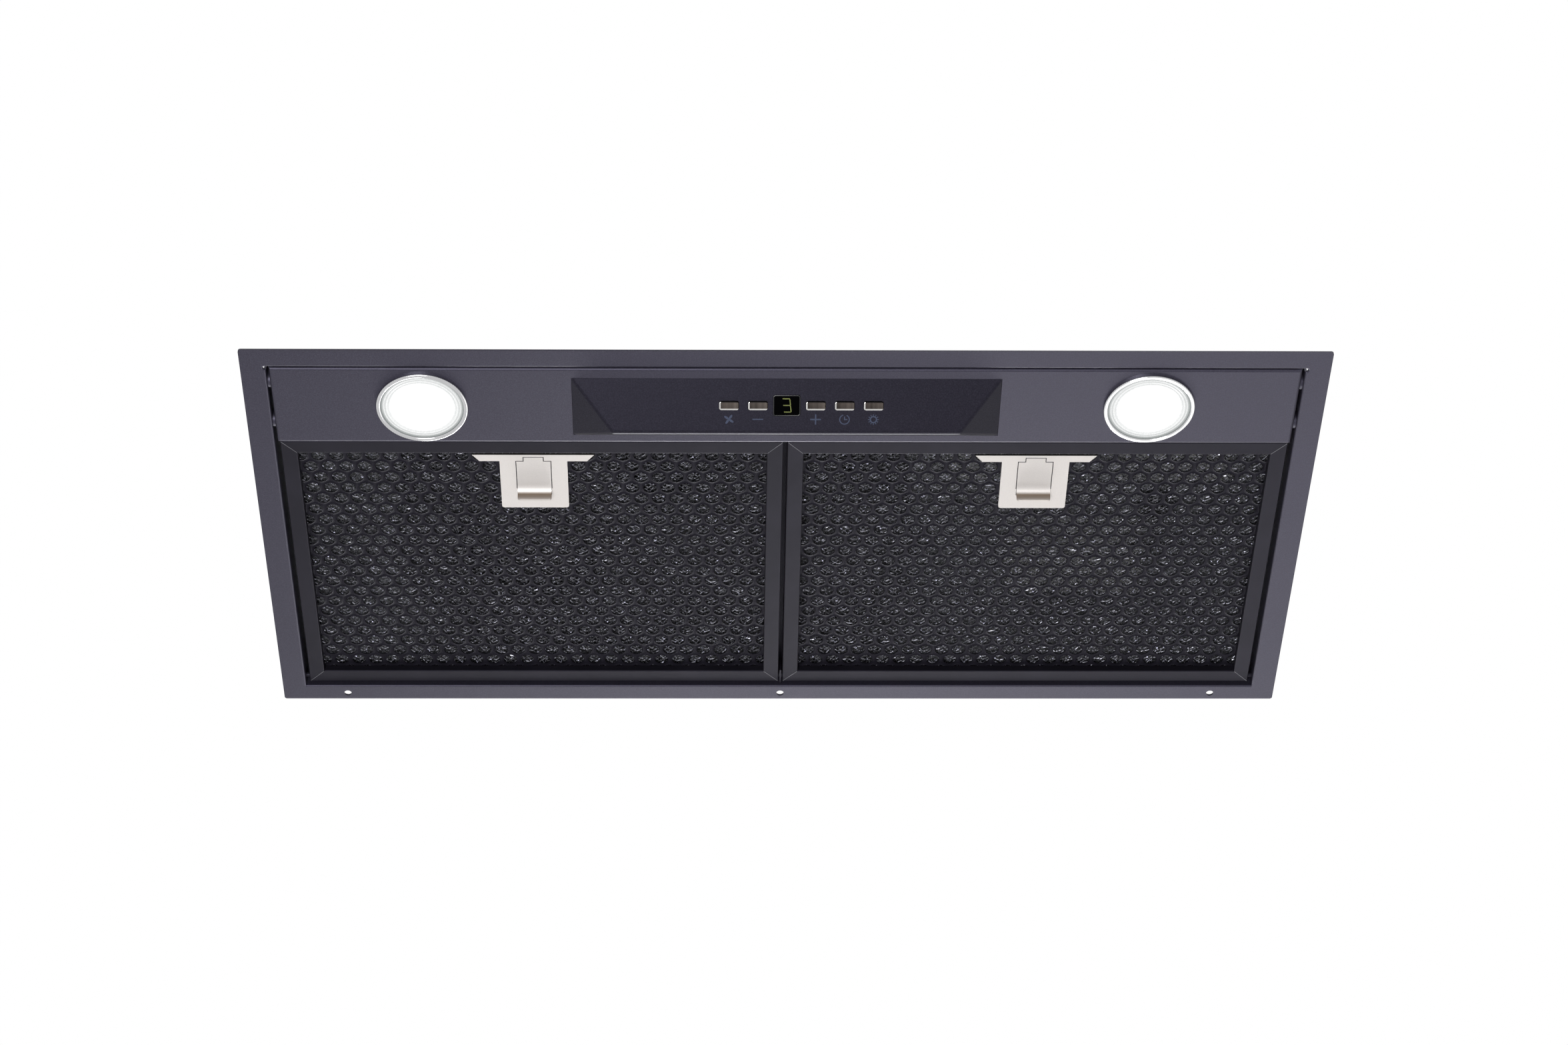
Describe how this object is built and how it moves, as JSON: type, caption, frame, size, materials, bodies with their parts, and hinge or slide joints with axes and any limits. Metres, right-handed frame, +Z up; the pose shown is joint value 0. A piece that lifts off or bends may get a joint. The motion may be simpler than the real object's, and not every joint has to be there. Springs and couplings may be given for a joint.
{
  "type": "undermount range hood",
  "caption": "Dark grey cabinet-mounted range hood with perforated swing-down grease filters on sprung latches, round lamps and a sloped push-button control strip.",
  "frame": {"origin": "centre of the rim's upper face, which meets the cabinet", "axes": "+X right for a person at the cooktop, +Y to the wall, +Z up into the cabinet"},
  "size_m": [0.6, 0.287, 0.1371],
  "materials": {
    "painted_steel": "dark grey speckled textured paint",
    "casing_steel": "galvanised sheet",
    "chrome": "polished chrome",
    "black_window": "gloss black",
    "lamp_glass": "clear moulded lens",
    "heat_sink": "die cast",
    "filter_black": "satin black",
    "filter_mesh": "expanded mesh",
    "latch_steel": "bead blasted",
    "spring_steel": "spring temper",
    "black_plastic": "moulded",
    "grey_plastic": "moulded",
    "white_plastic": "moulded",
    "board": "solder mask",
    "motor_steel": "zinc plated"
  },
  "bodies": {
    "hood": {"canopy_rim": "painted_steel", "lamp_panel": "painted_steel", "control_housing": "painted_steel", "plenum_wrapper": "casing_steel", "plenum_end_left": "casing_steel", "plenum_end_right": "casing_steel", "display_window": "black_window", "control_board": "board", "tact_switches": "black_plastic", "display_module": "black_plastic", "centre_rail": "filter_black", "scroll_housing": "grey_plastic", "floor_plate": "grey_plastic", "motor": "motor_steel", "motor_bracket": "motor_steel", "capacitor": "white_plastic", "duct_collar": "black_plastic", "damper_pin": "motor_steel", "terminal_box": "white_plastic", "terminal_lid": "white_plastic", "led_driver": "white_plastic", "cable_gland": "black_plastic", "lamp_bezel_left": "chrome", "lamp_lens_left": "lamp_glass", "lamp_can_left": "heat_sink", "lamp_nut_left": "black_plastic", "lamp_bezel_right": "chrome", "lamp_lens_right": "lamp_glass", "lamp_can_right": "heat_sink", "lamp_nut_right": "black_plastic"},
    "filter_left": {"filter_frame_left": "filter_black", "face_sheet_left": "filter_black", "mesh_pad_left": "filter_mesh", "back_sheet_left": "filter_mesh", "pivot_pins_left": "motor_steel", "latch_plate_left": "latch_steel", "latch_spring_left": "spring_steel"},
    "latch_left": {"latch_slider_left": "latch_steel"},
    "filter_right": {"filter_frame_right": "filter_black", "face_sheet_right": "filter_black", "mesh_pad_right": "filter_mesh", "back_sheet_right": "filter_mesh", "pivot_pins_right": "motor_steel", "latch_plate_right": "latch_steel", "latch_spring_right": "spring_steel"},
    "latch_right": {"latch_slider_right": "latch_steel"},
    "button_fan": {"button_fan": "chrome"},
    "button_minus": {"button_minus": "chrome"},
    "button_plus": {"button_plus": "chrome"},
    "button_timer": {"button_timer": "chrome"},
    "button_light": {"button_light": "chrome"},
    "rotor": {"impeller": "black_plastic", "motor_shaft": "motor_steel"},
    "flap_front": {"damper_flap_front": "grey_plastic"},
    "flap_rear": {"damper_flap_rear": "grey_plastic"}
  },
  "joints": [
    {"name": "filter_left_swing", "type": "hinge", "parent": "hood", "child": "filter_left", "pos_m": [-0.1424, 0.1268, 0.0035], "axis": [1, 0, 0], "range_deg": [0, 70]},
    {"name": "latch_left_slide", "type": "slide", "parent": "filter_left", "child": "latch_left", "axis": [0, 1, 0], "range_m": [0, 0.005], "stiffness_N_per_m": 400, "springref_m": -0.002, "deforming": ["latch_spring_left"]},
    {"name": "filter_right_swing", "type": "hinge", "parent": "hood", "child": "filter_right", "pos_m": [0.1424, 0.1268, 0.0035], "axis": [1, 0, 0], "range_deg": [0, 70]},
    {"name": "latch_right_slide", "type": "slide", "parent": "filter_right", "child": "latch_right", "axis": [0, 1, 0], "range_m": [0, 0.005], "stiffness_N_per_m": 400, "springref_m": -0.002, "deforming": ["latch_spring_right"]},
    {"name": "button_fan_press", "type": "slide", "parent": "hood", "child": "button_fan", "axis": [0, 0.454, 0.891], "range_m": [0, 0.0012], "stiffness_N_per_m": 600, "springref_m": -0.0005},
    {"name": "button_minus_press", "type": "slide", "parent": "hood", "child": "button_minus", "axis": [0, 0.454, 0.891], "range_m": [0, 0.0012], "stiffness_N_per_m": 600, "springref_m": -0.0005},
    {"name": "button_plus_press", "type": "slide", "parent": "hood", "child": "button_plus", "axis": [0, 0.454, 0.891], "range_m": [0, 0.0012], "stiffness_N_per_m": 600, "springref_m": -0.0005},
    {"name": "button_timer_press", "type": "slide", "parent": "hood", "child": "button_timer", "axis": [0, 0.454, 0.891], "range_m": [0, 0.0012], "stiffness_N_per_m": 600, "springref_m": -0.0005},
    {"name": "button_light_press", "type": "slide", "parent": "hood", "child": "button_light", "axis": [0, 0.454, 0.891], "range_m": [0, 0.0012], "stiffness_N_per_m": 600, "springref_m": -0.0005},
    {"name": "wheel_spin", "type": "hinge", "parent": "hood", "child": "rotor", "pos_m": [-0.145, 0.0348, 0.057], "axis": [0, 0, 1], "continuous": true},
    {"name": "flap_front_lift", "type": "hinge", "parent": "hood", "child": "flap_front", "pos_m": [0, 0.0478, 0.0976], "axis": [-1, 0, 0], "range_deg": [0, 80]},
    {"name": "flap_rear_lift", "type": "hinge", "parent": "hood", "child": "flap_rear", "pos_m": [0, 0.0478, 0.0976], "axis": [1, 0, 0], "range_deg": [0, 80]}
  ]
}
